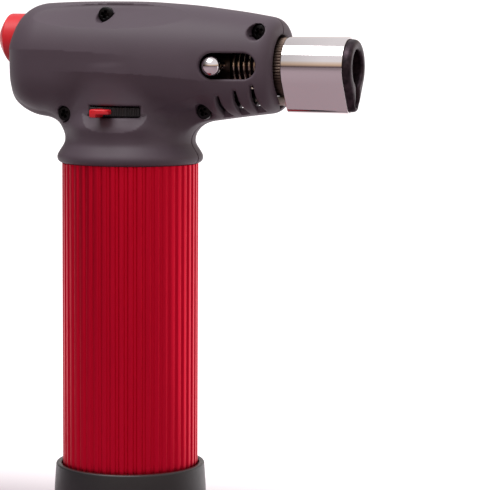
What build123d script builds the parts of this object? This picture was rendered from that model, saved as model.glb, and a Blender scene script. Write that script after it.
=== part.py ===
"""Hand-held butane torch: a piezo-lit gas torch head on a ribbed fuel tank, standing in a removable base.

Frame: +Z up, +X towards the nozzle, origin on the tank's axis at table level. Millimetres throughout.
The head housing is two moulded halves that meet at Y = 0, screwed together from the right side (-Y).
"""

import os
from math import asin, pi, sin

from build123d import *

os.makedirs("parts", exist_ok=True)

# ---------------------------------------------------------------- driving dimensions
base_foot_radius = 30.0
base_rim_radius = 20.9
base_height = 26.0
base_floor = 3.0
base_bore_radius = 19.3

sleeve_radius = 19.0
sleeve_bore_radius = 17.2
sleeve_bottom = 5.0
rib_count = 48
rib_depth = 0.5
rib_share = 0.6  # of the pitch that is land, the rest is groove

collar_bottom = 110.5
head_top = 155.2
barrel_axis_height = 137.7
wall = 2.0
nose_x = 44.8
seam_y = 0.0

tank_radius = 17.1
tank_wall = 1.5
tank_bottom = 6.0
tank_shoulder = 109.5
tank_neck_radius = 12.0
tank_top = 116.0
tank_port_radius = 5.0

button_radius = 7.0
button_height = 144.7
button_back_x = -39.6
trigger_travel = 4.0

stem_radius = 1.5
running_gap = 0.05
valve_top = 127.5

lever_pivot_x = 4.0
lever_pivot_z = 131.0
lever_arm = 9.5
lever_tip_radius = 0.9
lever_angle = asin(trigger_travel / lever_arm)  # radians turned over the full trigger travel
valve_lift = lever_pivot_x * sin(lever_angle)

dial_slot_low = 123.6
dial_slot_high = 126.8
dial_slot_start = -109.0
dial_slot_end = -58.6
dial_lever_angle = -91.0

burner_radius = 5.0
burner_bore = 4.0
burner_start_x = 24.0
burner_end_x = 57.0
hub_radius = 8.0
hub_start_x = 43.4
shroud_start_x = 46.6
shroud_end_x = 63.8
shroud_radius = 8.1
shroud_toe_radius = 2.8
shroud_toe_z = 127.9
shroud_wall = 0.5
nozzle_end_x = 66.0
electrode_height = 128.4
electrode_radius = 0.45
insulator_radius = 1.25

air_slot_start_x = 26.3
air_slot_end_x = 41.3
air_slot_height = 7.0
air_slot_z = 137.9
air_knob_x = 29.7
air_knob_radius = 2.7
air_knob_y = -15.4

screw_head_radius = 2.1
screw_head_height = 1.6
screw_radius = 1.15
screw_hole_radius = 2.25
boss_radius = 2.6
screw_end_y = 7.0
# One row for each screw: X, Z, and the Y of the seat under its head.
screw_places = [
    (-3.2, 151.5, -9.0),
    (40.5, 147.0, -6.4),
    (24.4, 125.3, -5.6),
    (-15.1, 124.2, -9.6),
]

# The barrel's cross-sections: X, centre height, half width and half height.
barrel_stations = [
    (-34.6, 135.9, 9.5, 6.5),
    (-32.6, 136.6, 13.2, 10.4),
    (-28.6, 138.1, 16.0, 13.7),
    (-20.0, 139.1, 18.2, 15.6),
    (-5.0, head_top - 15.9, 19.4, 15.9),
    (10.0, 138.7, 19.0, 16.2),
    (25.0, 138.0, 17.2, 15.6),
    (36.0, 138.0, 14.8, 14.1),
    (nose_x, barrel_axis_height + 0.2, 12.4, 12.6),
]


# ---------------------------------------------------------------- helpers
def rod_x(start, end, radius, y=0.0, z=barrel_axis_height, mode=Mode.ADD):
    """A round rod along X, from start to end."""
    with BuildSketch(Plane.YZ.offset(start)) as disc:
        with Locations((y, z)):
            Circle(radius)
    extrude(disc.sketch, amount=end - start, mode=mode)


def rod_y(start, end, radius, x, z, mode=Mode.ADD):
    """A round rod along Y, from start to end."""
    with BuildSketch(Plane.XZ.offset(-start)) as disc:
        with Locations((x, z)):
            Circle(radius)
    extrude(disc.sketch, amount=start - end, mode=mode)


def rod_z(start, end, radius, x=0.0, y=0.0, mode=Mode.ADD):
    """A round rod along Z, from start to end."""
    with BuildSketch(Plane.XY.offset(start)) as disc:
        with Locations((x, y)):
            Circle(radius)
    extrude(disc.sketch, amount=end - start, mode=mode)


def block(x_span, y_span, z_span, mode=Mode.ADD):
    """A box given by its lowest and highest X, Y and Z."""
    spans = (x_span, y_span, z_span)
    middle = [(low + high) / 2 for low, high in spans]
    size = [high - low for low, high in spans]
    with Locations(tuple(middle)):
        Box(*size, mode=mode)


def turned(points, mode=Mode.ADD):
    """A turned ring or rod about Z, from (radius, height) corners given in order."""
    with BuildSketch(Plane.XZ) as profile:
        with BuildLine():
            Polyline(*points, close=True)
        make_face()
    revolve(profile.sketch, axis=Axis.Z, mode=mode)


def teardrop(x, shrink):
    """The nozzle's section: a large circle over a small one, joined by straight sides."""
    with BuildSketch(Plane.YZ.offset(x)) as outline:
        with Locations((0, barrel_axis_height)):
            Circle(shroud_radius - shrink)
        with Locations((0, shroud_toe_z)):
            Circle(shroud_toe_radius - shrink)
        make_hull()
    return outline.sketch


def coil(pitch, length, radius, wire_radius, start, direction):
    """A round-wire coil spring whose axis leaves the start point in the given direction."""
    with BuildLine() as path:
        Helix(pitch, length, radius, center=start, direction=direction)
    with BuildSketch(Plane(path.line @ 0, z_dir=path.line % 0)) as section:
        Circle(wire_radius)
    sweep(section.sketch, path=path.line, is_frenet=True)


def barrel_sections(shrink, inset):
    """The barrel's sections as sketches, made smaller by shrink and shorter by inset at each end."""
    sections = []
    last = len(barrel_stations) - 1
    for index, (x, centre_z, half_width, half_height) in enumerate(barrel_stations):
        if index == 0:
            x += inset
        elif index == last:
            x -= inset
        with BuildSketch(Plane.YZ.offset(x)) as section:
            with Locations((0, centre_z)):
                Ellipse(half_width - shrink, half_height - shrink)
        sections.append(section.sketch)
    return sections


# ---------------------------------------------------------------- base stand
with BuildPart() as base_stand:
    with BuildSketch(Plane.XZ):
        with BuildLine():
            Polyline((0, 0), (base_foot_radius - 0.8, 0), (base_foot_radius, 0.8), (base_foot_radius, 3.0))
            Spline(
                (base_foot_radius, 3.0),
                (24.6, 8.0),
                (base_rim_radius + 0.45, base_height - 7.0),
                (base_rim_radius, base_height),
                tangents=[(-0.5, 0.5), (-0.06, 1)],
            )
            Polyline(
                (base_rim_radius, base_height),
                (base_bore_radius, base_height),
                (base_bore_radius, sleeve_bottom),
                (16.5, sleeve_bottom),
                (16.5, base_floor),
                (0, base_floor),
                (0, 0),
            )
        make_face()
    revolve(axis=Axis.Z)
base_stand.part.label = "base_stand"
export_step(base_stand.part, "parts/base_stand.step")

# ---------------------------------------------------------------- fuel tank and its sleeve
with BuildPart() as tank_sleeve:
    with BuildSketch(Plane.XY.offset(sleeve_bottom)):
        Circle(sleeve_radius)
        groove_width = 2 * pi * sleeve_radius / rib_count * (1 - rib_share)
        with PolarLocations(sleeve_radius, rib_count):
            Rectangle(2 * rib_depth, groove_width, mode=Mode.SUBTRACT)
        Circle(sleeve_bore_radius, mode=Mode.SUBTRACT)
    extrude(amount=collar_bottom - sleeve_bottom)
tank_sleeve.part.label = "tank_sleeve"
export_step(tank_sleeve.part, "parts/tank_sleeve.step")

seal_radius = 6.0
seal_thickness = 1.0
seal_groove = (seal_radius - 0.6, seal_radius + 0.6)
with BuildPart() as fuel_tank:
    inner_radius = tank_radius - tank_wall
    neck_bore = tank_neck_radius - 2.5
    turned([
        (tank_port_radius, tank_bottom),
        (tank_radius, tank_bottom),
        (tank_radius, tank_shoulder),
        (tank_neck_radius, tank_shoulder),
        (tank_neck_radius, 112.0),
        (tank_neck_radius - 1.0, 112.0),
        (tank_neck_radius - 1.0, 114.0),
        (tank_neck_radius, 114.0),
        (tank_neck_radius, tank_top),
        (tank_port_radius, tank_top),
        (tank_port_radius, tank_top - 2.5),
        (neck_bore, tank_top - 2.5),
        (neck_bore, tank_shoulder - tank_wall),
        (inner_radius, tank_shoulder - tank_wall),
        (inner_radius, tank_bottom + 2.5),
        (tank_port_radius, tank_bottom + 2.5),
    ])
    for groove_bottom in (tank_top - seal_thickness, tank_bottom):
        turned(
            [
                (seal_groove[0], groove_bottom),
                (seal_groove[1], groove_bottom),
                (seal_groove[1], groove_bottom + seal_thickness),
                (seal_groove[0], groove_bottom + seal_thickness),
            ],
            mode=Mode.SUBTRACT,
        )
fuel_tank.part.label = "fuel_tank"
export_step(fuel_tank.part, "parts/fuel_tank.step")

with BuildPart() as valve_seal:
    with BuildSketch(Plane.XZ):
        with Locations((seal_radius, tank_top - seal_thickness / 2)):
            Circle(seal_thickness / 2)
    revolve(axis=Axis.Z)
valve_seal.part.label = "valve_seal"
export_step(valve_seal.part, "parts/valve_seal.step")

with BuildPart() as fill_valve_seal:
    with BuildSketch(Plane.XZ):
        with Locations((seal_radius, tank_bottom + seal_thickness / 2)):
            Circle(seal_thickness / 2)
    revolve(axis=Axis.Z)
fill_valve_seal.part.label = "fill_valve_seal"
export_step(fill_valve_seal.part, "parts/fill_valve_seal.step")

# ---------------------------------------------------------------- fill valve, under the tank
fill_bottom = 4.0
fill_step = 8.0
fill_top = 14.0
fill_stem_radius = 1.2
fill_chamber_radius = 2.4
with BuildPart() as fill_valve:
    turned([
        (fill_stem_radius + running_gap, fill_bottom),
        (5.6, fill_bottom),
        (6.8, fill_bottom + 1.0),
        (6.8, tank_bottom),
        (tank_port_radius, tank_bottom),
        (tank_port_radius, fill_top),
        (0.7, fill_top),
        (0.7, fill_top - 1.0),
        (fill_chamber_radius, fill_top - 1.0),
        (fill_chamber_radius, fill_step),
        (fill_stem_radius + running_gap, fill_step),
    ])
fill_valve.part.label = "fill_valve"
export_step(fill_valve.part, "parts/fill_valve.step")

with BuildPart() as fill_valve_stem:
    rod_z(fill_bottom + 0.2, fill_step, fill_stem_radius)
    rod_z(fill_step, fill_step + 1.0, fill_chamber_radius - 0.2)
fill_valve_stem.part.label = "fill_valve_stem"
export_step(fill_valve_stem.part, "parts/fill_valve_stem.step")

with BuildPart() as fill_valve_spring:
    coil(0.9, 3.5, 1.7, 0.2, (0, 0, fill_step + 1.25), (0, 0, 1))
fill_valve_spring.part.label = "fill_valve_spring"
export_step(fill_valve_spring.part, "parts/fill_valve_spring.step")

# ---------------------------------------------------------------- gas valve, on top of the tank
stem_bore = stem_radius + running_gap
valve_neck_radius = 4.0
valve_bottom = 106.0
with BuildPart() as valve_body:
    turned([
        (stem_bore, valve_bottom),
        (3.5, valve_bottom),
        (3.5, 112.0),
        (tank_port_radius, 112.0),
        (tank_port_radius, tank_top),
        (7.0, tank_top),
        (7.0, tank_top + 2.0),
        (valve_neck_radius, tank_top + 2.0),
        (valve_neck_radius, valve_top),
        (stem_bore, valve_top),
    ])
valve_body.part.label = "valve_body"
export_step(valve_body.part, "parts/valve_body.step")

with BuildPart() as dip_tube:
    rod_z(tank_bottom + 11.0, valve_bottom, 2.2)
    rod_z(tank_bottom + 11.0, valve_bottom, 1.4, mode=Mode.SUBTRACT)
dip_tube.part.label = "dip_tube"
export_step(dip_tube.part, "parts/dip_tube.step")

fork_tip_radius = 0.8
lift_gap = 0.15
stem_collar_radius = 2.35
stem_collar_low = lever_pivot_z + fork_tip_radius + lift_gap
with BuildPart() as valve_stem:
    rod_z(112.0, 136.5, stem_radius)
    rod_z(stem_collar_low, stem_collar_low + 1.2, stem_collar_radius)
valve_stem.part.label = "valve_stem"
export_step(valve_stem.part, "parts/valve_stem.step")

# ---------------------------------------------------------------- flame dial around the valve
dial_rim_radius = 17.2
dial_low = 123.9
dial_high = 126.5
with BuildPart() as flame_dial:
    rod_z(tank_top + 2.3, 127.2, 6.5)
    with BuildSketch(Plane.XY.offset(dial_low)):
        with BuildLine():
            CenterArc((0, 0), dial_rim_radius, dial_lever_angle - 30, 71)
            Line((0, 0), PolarLine((0, 0), dial_rim_radius, dial_lever_angle - 30) @ 1)
            Line((0, 0), PolarLine((0, 0), dial_rim_radius, dial_lever_angle + 41) @ 1)
        make_face()
    extrude(amount=dial_high - dial_low)
    rod_z(tank_top, 128.0, valve_neck_radius + running_gap, mode=Mode.SUBTRACT)
flame_dial.part.label = "flame_dial"
export_step(flame_dial.part, "parts/flame_dial.step")

lever_tip_reach = 22.0
lever_half_angle = 7.0
lever_low = dial_low - 0.15
lever_thickness = 2.15
with BuildPart() as flame_lever:
    with BuildSketch(Plane.XY.offset(lever_low)):
        with BuildLine():
            start = dial_lever_angle - lever_half_angle
            inner = CenterArc((0, 0), dial_rim_radius, start, 2 * lever_half_angle)
            outer = CenterArc((0, 0), lever_tip_reach, start + 1, 2 * lever_half_angle - 2)
            Line(inner @ 0, outer @ 0)
            Line(inner @ 1, outer @ 1)
        make_face()
    extrude(amount=lever_thickness)
flame_lever.part.label = "flame_lever"
export_step(flame_lever.part, "parts/flame_lever.step")

# ---------------------------------------------------------------- valve lever, its pin and bracket
pin_radius = 1.0
bracket_low = valve_top
bracket_thickness = 1.0
with BuildPart() as lever_bracket:
    block((-5.0, 8.0), (-6.0, 8.2), (bracket_low, bracket_low + bracket_thickness))
    for ear in ((-6.0, -4.8), (7.0, 8.2)):
        block((lever_pivot_x - 2.0, lever_pivot_x + 2.0), ear, (bracket_low, lever_pivot_z + 2.0))
    rod_z(bracket_low - 1, bracket_low + 2, stem_radius + 0.3, mode=Mode.SUBTRACT)
    rod_y(-7.0, 9.0, pin_radius, lever_pivot_x, lever_pivot_z, mode=Mode.SUBTRACT)
lever_bracket.part.label = "lever_bracket"
export_step(lever_bracket.part, "parts/lever_bracket.step")

with BuildPart() as lever_pin:
    rod_y(-6.0, 8.2, pin_radius, lever_pivot_x, lever_pivot_z)
lever_pin.part.label = "lever_pin"
export_step(lever_pin.part, "parts/lever_pin.step")

arm_span = (4.6, 6.6)
with BuildPart() as valve_lever:
    rod_y(-4.4, arm_span[1], 1.6, lever_pivot_x, lever_pivot_z)
    for prong in ((-3.4, -1.9), (1.9, 3.4)):
        block((0, lever_pivot_x), prong, (lever_pivot_z - 0.7, lever_pivot_z + 0.7))
        rod_y(prong[0], prong[1], fork_tip_radius, 0, lever_pivot_z)
    block((lever_pivot_x - 0.8, lever_pivot_x + 0.8), arm_span, (lever_pivot_z, lever_pivot_z + lever_arm))
    rod_y(arm_span[0], arm_span[1], lever_tip_radius, lever_pivot_x, lever_pivot_z + lever_arm)
    rod_y(-5.0, 7.0, pin_radius + running_gap, lever_pivot_x, lever_pivot_z, mode=Mode.SUBTRACT)
valve_lever.part.label = "valve_lever"
export_step(valve_lever.part, "parts/valve_lever.step")

# ---------------------------------------------------------------- trigger button and piezo igniter
plunger_radius = 2.5
piezo_radius = 4.0
piezo_back_x = -19.5
piezo_front_x = 6.0
flange_radius = 8.2
flange_span = (-26.0, -24.5)
button_shoulder_x = button_back_x + 3.7
with BuildPart() as trigger_button:
    with BuildSketch(Plane.XZ):
        with BuildLine():
            back = (button_back_x, button_height)
            shoulder = (button_shoulder_x, button_height + button_radius)
            Spline(back, shoulder, tangents=[(0, 1), (1, 0)])
            Polyline(
                shoulder,
                (flange_span[0], button_height + button_radius),
                (flange_span[0], button_height + flange_radius),
                (flange_span[1], button_height + flange_radius),
                (flange_span[1], button_height + button_radius - 1.6),
                (button_shoulder_x + 1, button_height + button_radius - 1.6),
                (button_shoulder_x + 1, button_height),
                back,
            )
        make_face()
    revolve(axis=Axis((0, 0, button_height), (1, 0, 0)))
    block((flange_span[1], lever_pivot_x - lever_tip_radius - 0.2), arm_span, (139.5, 142.0))
trigger_button.part.label = "trigger_button"
export_step(trigger_button.part, "parts/trigger_button.step")

plunger_end_x = -10.0
with BuildPart() as piezo_plunger:
    rod_x(button_shoulder_x + 1, plunger_end_x, plunger_radius, z=button_height)
piezo_plunger.part.label = "piezo_plunger"
export_step(piezo_plunger.part, "parts/piezo_plunger.step")

spring_end_x = -2.0
with BuildPart() as piezo_body:
    rod_x(piezo_back_x, piezo_front_x, piezo_radius, z=button_height)
    rod_x(piezo_back_x, spring_end_x, plunger_radius + running_gap, z=button_height, mode=Mode.SUBTRACT)
piezo_body.part.label = "piezo_body"
export_step(piezo_body.part, "parts/piezo_body.step")

trigger_spring_wire = 0.3
with BuildPart() as trigger_spring:
    spring_length = spring_end_x - plunger_end_x - 2 * trigger_spring_wire - 0.1
    spring_start = (plunger_end_x + trigger_spring_wire + 0.05, 0, button_height)
    coil(1.2, spring_length, 1.9, trigger_spring_wire, spring_start, (1, 0, 0))
trigger_spring.part.label = "trigger_spring"
export_step(trigger_spring.part, "parts/trigger_spring.step")

# ---------------------------------------------------------------- gas path from the valve to the jet
elbow_low = 135.2
gas_tube_radius = 1.2
with BuildPart() as gas_elbow:
    rod_z(elbow_low, 140.0, 3.0)
    rod_z(elbow_low, 139.0, stem_radius + running_gap, mode=Mode.SUBTRACT)
    rod_x(1.4, 4.0, gas_tube_radius, mode=Mode.SUBTRACT)
gas_elbow.part.label = "gas_elbow"
export_step(gas_elbow.part, "parts/gas_elbow.step")

holder_back_x = 14.0
with BuildPart() as gas_tube:
    rod_x(1.7, holder_back_x + 6, gas_tube_radius)
    rod_x(1.7, holder_back_x + 6, 0.6, mode=Mode.SUBTRACT)
    rod_z(elbow_low, 139.0, stem_radius + running_gap, mode=Mode.SUBTRACT)
gas_tube.part.label = "gas_tube"
export_step(gas_tube.part, "parts/gas_tube.step")

jet_bore = 1.5
with BuildPart() as jet_holder:
    with BuildSketch(Plane.YZ.offset(holder_back_x)):
        with Locations((0, barrel_axis_height)):
            RegularPolygon(4.5, 6, major_radius=False)
    extrude(amount=burner_start_x - holder_back_x)
    rod_x(burner_start_x, 27.0, burner_bore)
    rod_x(holder_back_x, holder_back_x + 6, gas_tube_radius, mode=Mode.SUBTRACT)
    rod_x(holder_back_x + 6, 27.0, jet_bore, mode=Mode.SUBTRACT)
jet_holder.part.label = "jet_holder"
export_step(jet_holder.part, "parts/jet_holder.step")

with BuildPart() as gas_filter:
    rod_x(holder_back_x + 6, burner_start_x, jet_bore)
gas_filter.part.label = "gas_filter"
export_step(gas_filter.part, "parts/gas_filter.step")

with BuildPart() as gas_jet:
    rod_x(burner_start_x, 27.0, jet_bore)
    rod_x(27.0, 28.5, 2.4)
    rod_x(burner_start_x, 28.5, 0.25, mode=Mode.SUBTRACT)
gas_jet.part.label = "gas_jet"
export_step(gas_jet.part, "parts/gas_jet.step")

# ---------------------------------------------------------------- burner, air collar and its spring
air_hole_x = 34.2
with BuildPart() as burner_tube:
    rod_x(burner_start_x, burner_end_x, burner_radius)
    rod_x(burner_start_x, burner_end_x, burner_bore, mode=Mode.SUBTRACT)
    rod_y(-6.0, 6.0, 1.2, air_hole_x, barrel_axis_height, mode=Mode.SUBTRACT)
    rod_z(barrel_axis_height - 6, barrel_axis_height + 6, 1.2, x=air_hole_x, mode=Mode.SUBTRACT)
burner_tube.part.label = "burner_tube"
export_step(burner_tube.part, "parts/burner_tube.step")

with BuildPart() as burner_hub:
    rod_x(hub_start_x, shroud_start_x, hub_radius)
    rod_x(shroud_start_x, shroud_start_x + 3.4, shroud_radius - shroud_wall - 0.1)
    rod_x(hub_start_x, shroud_start_x + 3.4, burner_radius, mode=Mode.SUBTRACT)
burner_hub.part.label = "burner_hub"
export_step(burner_hub.part, "parts/burner_hub.step")

air_collar_span = (air_knob_x - 2.0, air_knob_x + 2.0)
air_collar_radius = 6.6
knob_stem_radius = 1.1
with BuildPart() as air_collar:
    rod_x(air_collar_span[0], air_collar_span[1], air_collar_radius)
    rod_x(air_collar_span[0], air_collar_span[1], burner_radius + running_gap, mode=Mode.SUBTRACT)
    rod_y(-8.0, -5.0, knob_stem_radius, air_knob_x, air_slot_z, mode=Mode.SUBTRACT)
air_collar.part.label = "air_collar"
export_step(air_collar.part, "parts/air_collar.step")

with BuildPart() as air_knob:
    rod_y(air_knob_y, -5.3, knob_stem_radius, air_knob_x, air_slot_z)
    with Locations((air_knob_x, air_knob_y, air_slot_z)):
        Sphere(air_knob_radius)
air_knob.part.label = "air_knob"
export_step(air_knob.part, "parts/air_knob.step")

air_spring_wire = 0.4
with BuildPart() as air_spring:
    air_spring_start = (air_collar_span[1] + air_spring_wire + 0.1, 0, barrel_axis_height)
    air_spring_length = hub_start_x - air_collar_span[1] - 2 * (air_spring_wire + 0.1)
    coil(1.5, air_spring_length, 5.85, air_spring_wire, air_spring_start, (1, 0, 0))
air_spring.part.label = "air_spring"
export_step(air_spring.part, "parts/air_spring.step")

# ---------------------------------------------------------------- nozzle
slot_half_width = 1.4
flame_hole_radius = 4.8
with BuildPart() as nozzle_shroud:
    extrude(teardrop(shroud_start_x, 0), amount=shroud_end_x - shroud_start_x)
    extrude(
        teardrop(shroud_start_x, shroud_wall),
        amount=shroud_end_x - shroud_start_x,
        mode=Mode.SUBTRACT,
    )
nozzle_shroud.part.label = "nozzle_shroud"
export_step(nozzle_shroud.part, "parts/nozzle_shroud.step")

with BuildPart() as nozzle_insert:
    extrude(teardrop(burner_end_x, shroud_wall + 0.05), amount=nozzle_end_x - burner_end_x)
    rod_x(burner_end_x, nozzle_end_x, flame_hole_radius, mode=Mode.SUBTRACT)
    rod_x(burner_end_x, nozzle_end_x, slot_half_width, z=electrode_height, mode=Mode.SUBTRACT)
    block(
        (burner_end_x, nozzle_end_x),
        (-slot_half_width, slot_half_width),
        (electrode_height, barrel_axis_height),
        mode=Mode.SUBTRACT,
    )
nozzle_insert.part.label = "nozzle_insert"
export_step(nozzle_insert.part, "parts/nozzle_insert.step")

with BuildPart() as flame_holder:
    rod_x(58.0, 59.5, flame_hole_radius - 0.05)
    with BuildSketch(Plane.YZ.offset(58.0)):
        with Locations((0, barrel_axis_height)):
            Circle(0.7)
            with PolarLocations(2.6, 6):
                Circle(0.7)
    extrude(amount=1.5, mode=Mode.SUBTRACT)
    block((58.0, 59.5), (-1.5, 1.5), (132.0, 134.0), mode=Mode.SUBTRACT)
flame_holder.part.label = "flame_holder"
export_step(flame_holder.part, "parts/flame_holder.step")

insulator_span = (38.0, 62.5)
with BuildPart() as electrode_insulator:
    rod_x(insulator_span[0], insulator_span[1], insulator_radius, z=electrode_height)
    rod_x(insulator_span[0], insulator_span[1], electrode_radius, z=electrode_height, mode=Mode.SUBTRACT)
electrode_insulator.part.label = "electrode_insulator"
export_step(electrode_insulator.part, "parts/electrode_insulator.step")

wire_end_x = 37.0
with BuildPart() as electrode:
    with BuildLine() as electrode_path:
        FilletPolyline(
            (wire_end_x, 0, electrode_height),
            (64.4, 0, electrode_height),
            (64.4, 0, electrode_height + 4.5),
            radius=1.3,
        )
    with BuildSketch(Plane.YZ.offset(wire_end_x)):
        with Locations((0, electrode_height)):
            Circle(electrode_radius)
    sweep(path=electrode_path.line)
electrode.part.label = "electrode"
export_step(electrode.part, "parts/electrode.step")

ignition_wire_radius = 0.8
with BuildPart() as ignition_wire:
    with BuildLine() as wire_path:
        FilletPolyline(
            (piezo_front_x, 0, button_height),
            (12.0, 0, button_height),
            (17.0, 8.5, 140.0),
            (24.0, 9.5, 132.0),
            (30.0, 4.5, electrode_height),
            (34.0, 0, electrode_height),
            (wire_end_x, 0, electrode_height),
            radius=[3.0, 4.0, 5.0, 3.0, 3.0],
        )
    with BuildSketch(Plane.YZ.offset(piezo_front_x)):
        with Locations((0, button_height)):
            Circle(ignition_wire_radius)
    sweep(path=wire_path.line)
ignition_wire.part.label = "ignition_wire"
export_step(ignition_wire.part, "parts/ignition_wire.step")

# ---------------------------------------------------------------- head housing, in two halves
with BuildPart() as head_form:
    loft(barrel_sections(0, 0))
    with BuildSketch(Plane.XZ) as neck_profile:
        with BuildLine():
            Spline(
                (19.4, collar_bottom),
                (20.5, 112.4),
                (19.3, 114.6),
                (18.1, 117.2),
                (18.6, 121.0),
                (19.4, 126.0),
                (19.2, 132.0),
                (18.6, 136.5),
            )
            Polyline((18.6, 136.5), (0, 136.5), (0, collar_bottom), (19.4, collar_bottom))
        make_face()
    revolve(neck_profile.sketch, axis=Axis.Z)

with BuildPart() as head_cavity:
    loft(barrel_sections(wall, wall))
    rod_z(collar_bottom, 121.0, 16.2)
    rod_z(121.0, 128.0, dial_rim_radius + 0.5)

# What stands inside the cavity: screw bosses, the guide behind the button, the ring that grips
# the tank's neck, and the ribs that hold the piezo.
guide_radius = 9.4
with BuildPart() as head_fittings:
    for screw_x, screw_z, seat_y in screw_places:
        rod_y(-20.0, 20.0, boss_radius, screw_x, screw_z)
    rod_x(-37.0, flange_span[0] - 0.4, guide_radius, z=button_height)
    turned([(tank_neck_radius - 0.9, 112.1), (17.0, 112.1), (17.0, 113.9), (tank_neck_radius - 0.9, 113.9)])
    for rib_x in (-12.0, 0.5):
        for side in (-1, 1):
            near, far = sorted((side * 3.5, side * 20.0))
            block((rib_x, rib_x + 1.5), (near, far), (142.6, 147.0))
    rod_x(piezo_back_x, piezo_front_x, piezo_radius, z=button_height, mode=Mode.SUBTRACT)

with BuildPart() as head_shell:
    add(head_form.part)
    add(head_cavity.part, mode=Mode.SUBTRACT)
    add(head_fittings.part.intersect(head_form.part))
    rod_x(-45.0, flange_span[1], button_radius + 0.15, z=button_height, mode=Mode.SUBTRACT)
    rod_x(flange_span[0] - 0.4, piezo_back_x, flange_radius + 0.3, z=button_height, mode=Mode.SUBTRACT)
    with BuildSketch(Plane.YZ.offset(hub_start_x - 1.0)) as nose_hole:
        with Locations((0, barrel_axis_height)):
            Circle(hub_radius + 0.5)
        with Locations((0, electrode_height)):
            Circle(insulator_radius + 0.6)
        make_hull()
    extrude(nose_hole.sketch, amount=4.0, mode=Mode.SUBTRACT)
    rod_x(36.0, 46.0, insulator_radius + 0.3, z=electrode_height, mode=Mode.SUBTRACT)
    # Three curved air vents low on each side of the nose.
    for vent_x in (30.0, 34.8, 39.6):
        for side in (-1, 1):
            with BuildSketch(Plane.XZ) as vent:
                with BuildLine():
                    ThreePointArc((vent_x, 131.5), (vent_x - 0.2, 127.6), (vent_x + 0.5, 122.0))
                    Line((vent_x + 0.5, 122.0), (vent_x + 2.5, 122.0))
                    ThreePointArc((vent_x + 2.5, 122.0), (vent_x + 1.6, 127.6), (vent_x, 131.5))
                make_face()
            extrude(vent.sketch.moved(Location((0, side * 6.0, 0))), amount=-side * 20.0, mode=Mode.SUBTRACT)

with BuildPart() as housing_left:
    add(head_shell.part)
    split(bisect_by=Plane.XZ.offset(-seam_y), keep=Keep.BOTTOM)
    for screw_x, screw_z, seat_y in screw_places:
        rod_y(0, screw_end_y + 1.0, screw_radius, screw_x, screw_z, mode=Mode.SUBTRACT)
housing_left.part.label = "housing_left"
export_step(housing_left.part, "parts/housing_left.step")

with BuildPart() as housing_right:
    add(head_shell.part)
    split(bisect_by=Plane.XZ.offset(-seam_y), keep=Keep.TOP)
    for screw_x, screw_z, seat_y in screw_places:
        rod_y(-25.0, 0, screw_radius + 0.15, screw_x, screw_z, mode=Mode.SUBTRACT)
        rod_y(-25.0, seat_y, screw_hole_radius, screw_x, screw_z, mode=Mode.SUBTRACT)
    # The stadium slot that the air knob moves in.
    slot_middle = (air_slot_start_x + air_slot_end_x) / 2
    with BuildSketch(Plane.XZ.offset(6.8)) as air_slot:
        with Locations((slot_middle, air_slot_z)):
            SlotOverall(air_slot_end_x - air_slot_start_x, air_slot_height)
    extrude(air_slot.sketch, amount=20.0, mode=Mode.SUBTRACT)
    # The curved slot that the flame lever looks out of.
    with BuildSketch(Plane.XY.offset(dial_slot_low)) as dial_slot:
        with BuildLine():
            sweep_angle = dial_slot_end - dial_slot_start
            slot_inner = CenterArc((0, 0), 15.0, dial_slot_start, sweep_angle)
            slot_outer = CenterArc((0, 0), 24.0, dial_slot_start, sweep_angle)
            Line(slot_inner @ 0, slot_outer @ 0)
            Line(slot_inner @ 1, slot_outer @ 1)
        make_face()
    extrude(dial_slot.sketch, amount=dial_slot_high - dial_slot_low, mode=Mode.SUBTRACT)
housing_right.part.label = "housing_right"
export_step(housing_right.part, "parts/housing_right.step")

# ---------------------------------------------------------------- screws, one node of four
with BuildPart() as housing_screws:
    for screw_x, screw_z, seat_y in screw_places:
        rod_y(seat_y - screw_head_height, seat_y, screw_head_radius, screw_x, screw_z)
        rod_y(seat_y, screw_end_y, screw_radius, screw_x, screw_z)
housing_screws.part.label = "housing_screws"
export_step(housing_screws.part, "parts/housing_screws.step")

print("valve lift", round(valve_lift, 3), "lever angle", round(lever_angle, 4))
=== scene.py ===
# %% [markdown]
# # A butane torch for the jeweller's bench
#
# The torch is a horizontal gas head on a ribbed fuel tank. The head is two moulded plastic halves
# screwed together; a red button at the back lights it, a small red lever sets the gas, and a bright
# ball in a slot sets the air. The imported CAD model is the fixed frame: every piece made here is put
# where that frame says, and rides on the CAD body that moves it.
#
# The shapes are made in three ways, each where it suits: turned pieces are lathed from a profile,
# drawn sections are swept, and the moulded pieces, whose edges all run into each other softly, are
# meshed from a distance field.

import math

import bpy
import numpy as np
from mathutils import Matrix, Vector


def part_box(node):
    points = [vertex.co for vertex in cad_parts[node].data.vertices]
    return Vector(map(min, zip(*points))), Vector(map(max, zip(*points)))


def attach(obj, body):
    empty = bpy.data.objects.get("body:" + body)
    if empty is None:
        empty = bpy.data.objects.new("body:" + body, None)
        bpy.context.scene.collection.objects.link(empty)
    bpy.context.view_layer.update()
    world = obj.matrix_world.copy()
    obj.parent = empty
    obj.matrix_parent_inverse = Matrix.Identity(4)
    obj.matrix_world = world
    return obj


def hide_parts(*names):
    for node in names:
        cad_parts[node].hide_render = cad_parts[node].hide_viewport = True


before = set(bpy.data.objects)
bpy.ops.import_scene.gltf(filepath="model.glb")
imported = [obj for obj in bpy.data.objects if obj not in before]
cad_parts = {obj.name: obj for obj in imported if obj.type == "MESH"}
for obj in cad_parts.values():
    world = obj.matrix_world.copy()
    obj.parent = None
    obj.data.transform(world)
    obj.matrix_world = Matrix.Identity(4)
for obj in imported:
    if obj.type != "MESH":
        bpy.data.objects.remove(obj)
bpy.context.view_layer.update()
MM = 0.001  # one millimetre in Blender's metres


def node_box(name):
    """A CAD node's lowest and highest corner, in millimetres."""
    low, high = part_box(name)
    return np.array(low) / MM, np.array(high) / MM


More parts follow.
